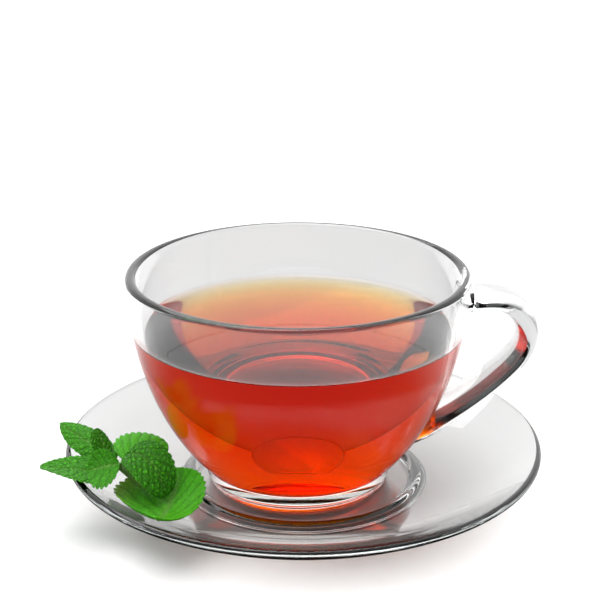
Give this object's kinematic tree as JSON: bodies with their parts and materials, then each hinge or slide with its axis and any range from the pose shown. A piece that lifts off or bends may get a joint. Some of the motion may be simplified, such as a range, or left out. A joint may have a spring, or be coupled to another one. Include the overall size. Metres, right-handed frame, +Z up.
{
  "type": "glass cup of black tea on a glass saucer",
  "caption": "Wide clear glass cup with a looped handle, filled with orange-red black tea, on a shallow clear glass saucer with a sprig of fresh mint and a loose mint leaf beside it.",
  "frame": {"origin": "on the saucer's axis, in the plane of its foot ring, which is the surface that it stands on", "axes": "+Z up; +X towards the cup's handle; -Y towards the viewer, with the mint on the -X side"},
  "size_m": [0.1449, 0.1406, 0.069],
  "materials": {
    "cup_glass": "clear, smooth, fire-polished soda-lime glass",
    "saucer_glass": "clear, smooth, fire-polished soda-lime glass",
    "tea": "clear black tea, deep orange-red where it is thick and pale amber where it is thin",
    "mint_stem": null,
    "mint_leaf": null
  },
  "bodies": {
    "root": {"cup": "cup_glass", "saucer": "saucer_glass", "tea": "tea", "mint_stem": "mint_stem", "mint_leaf_left": "mint_leaf", "mint_leaf_cupped": "mint_leaf", "mint_leaf_back_left": "mint_leaf", "mint_leaf_young": "mint_leaf", "mint_leaf_back": "mint_leaf", "mint_leaf_arched": "mint_leaf", "mint_leaf_loose": "mint_leaf"}
  },
  "joints": []
}
